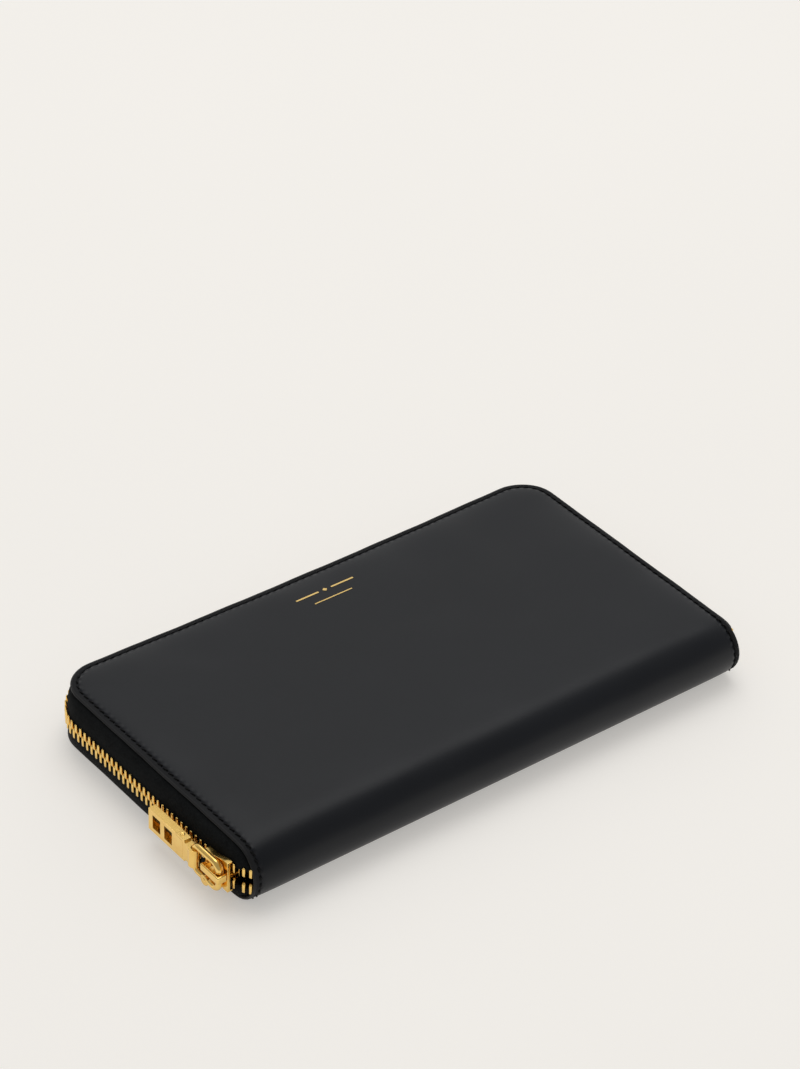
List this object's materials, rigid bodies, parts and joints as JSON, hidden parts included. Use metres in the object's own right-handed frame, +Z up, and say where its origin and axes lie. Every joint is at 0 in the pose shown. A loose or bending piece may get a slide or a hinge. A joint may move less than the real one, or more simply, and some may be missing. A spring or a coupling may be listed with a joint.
{
  "type": "zip around wallet",
  "caption": "Long zip-around wallet in smooth black leather with a gold metal zip, swinging pull, card slots, bill dividers and a zipped coin pocket.",
  "frame": {"origin": "midway between the wallet's two ends, 55 mm in from the outside of the spine, on the face that the closed wallet rests on", "axes": "+X along the long side, away from the end where the slider parks; -Y towards the folded spine; +Z up"},
  "size_m": [0.2052, 0.1122, 0.0215],
  "materials": {
    "cover_leather": "smooth satin calf leather",
    "lining_leather": "matt fine-grain leather",
    "board": "salpa fibre board",
    "thread": "waxed polyester thread",
    "zip_tape": "woven herringbone tape",
    "gold_metal": "polished gold plating",
    "gold_foil": "stamped foil"
  },
  "bodies": {
    "lower": {"lower_cover": "cover_leather", "lower_board": "board", "lower_lining": "lining_leather", "lower_stitching": "thread", "lower_zip_tape": "zip_tape", "lower_zip_teeth": "gold_metal", "lower_slider_side_teeth": "gold_metal", "lower_zip_stops": "gold_metal", "lower_card_panel": "lining_leather", "lower_card_slot_1": "lining_leather", "lower_card_slot_2": "lining_leather", "lower_card_slot_3": "lining_leather", "lower_card_slot_4": "lining_leather", "left_lower_gusset": "lining_leather", "right_lower_gusset": "lining_leather"},
    "upper": {"upper_cover": "cover_leather", "upper_board": "board", "upper_lining": "lining_leather", "upper_stitching": "thread", "upper_zip_tape": "zip_tape", "upper_zip_teeth": "gold_metal", "upper_slider_side_teeth": "gold_metal", "upper_zip_stops": "gold_metal", "upper_card_panel": "lining_leather", "upper_card_slot_1": "lining_leather", "upper_card_slot_2": "lining_leather", "upper_card_slot_3": "lining_leather", "upper_card_slot_4": "lining_leather", "foil_mark": "gold_foil", "left_upper_gusset": "lining_leather", "right_upper_gusset": "lining_leather"},
    "lower_leaf": {"lower_bill_divider": "lining_leather"},
    "upper_leaf": {"upper_bill_divider": "lining_leather"},
    "coin_pocket": {"pocket_lower_wall": "lining_leather", "pocket_upper_wall": "lining_leather", "pocket_spine_strip": "lining_leather", "coin_zip_tapes": "zip_tape", "coin_zip_teeth": "gold_metal", "coin_slider_side_teeth": "gold_metal", "coin_zip_stops": "gold_metal"},
    "coin_slider": {"coin_slider_body": "gold_metal", "coin_slider_crown": "gold_metal"},
    "coin_pull": {"coin_pull": "gold_metal"},
    "slider": {"slider_body": "gold_metal", "slider_crown": "gold_metal"},
    "link": {"pull_link": "gold_metal", "link_rivet": "gold_metal"},
    "pull": {"pull_fork": "gold_metal", "fork_rivet": "gold_metal", "pull_bar": "gold_metal"}
  },
  "joints": [
    {"name": "cover_open", "type": "hinge", "parent": "lower", "child": "upper", "pos_m": [0, -0.055, 0.01075], "axis": [1, 0, 0], "range_deg": [0, 60], "deforming": ["left_lower_gusset", "right_lower_gusset", "left_upper_gusset", "right_upper_gusset"]},
    {"name": "lower_leaf_fan", "type": "hinge", "parent": "lower", "child": "lower_leaf", "pos_m": [0, -0.055, 0.01075], "axis": [1, 0, 0], "range_deg": [0, 15]},
    {"name": "pocket_fan", "type": "hinge", "parent": "lower", "child": "coin_pocket", "pos_m": [0, -0.055, 0.01075], "axis": [1, 0, 0], "range_deg": [0, 30]},
    {"name": "upper_leaf_fan", "type": "hinge", "parent": "lower", "child": "upper_leaf", "pos_m": [0, -0.055, 0.01075], "axis": [1, 0, 0], "range_deg": [0, 45]},
    {"name": "slider_slide", "type": "slide", "parent": "lower", "child": "slider", "axis": [0, 1, 0], "range_m": [0, 0.062], "deforming": ["lower_slider_side_teeth", "upper_slider_side_teeth"]},
    {"name": "link_swing", "type": "hinge", "parent": "slider", "child": "link", "pos_m": [-0.1029, -0.0442, 0.00985], "axis": [0, 0, 1], "range_deg": [0, 120]},
    {"name": "pull_swing", "type": "hinge", "parent": "link", "child": "pull", "pos_m": [-0.1029, -0.0317, 0.00985], "axis": [0, 0, 1], "range_deg": [0, 70]},
    {"name": "coin_slide", "type": "slide", "parent": "coin_pocket", "child": "coin_slider", "axis": [-1, 0, 0], "range_m": [0, 0.114], "deforming": ["coin_slider_side_teeth"]},
    {"name": "coin_pull_swing", "type": "hinge", "parent": "coin_slider", "child": "coin_pull", "pos_m": [0.06, 0.04062, 0.01075], "axis": [0, 0, -1], "range_deg": [0, 120]}
  ],
  "couplings": [
    {"joint": "lower_leaf_fan", "follows": "cover_open", "ratio": 0.25},
    {"joint": "pocket_fan", "follows": "cover_open", "ratio": 0.5},
    {"joint": "upper_leaf_fan", "follows": "cover_open", "ratio": 0.75}
  ]
}
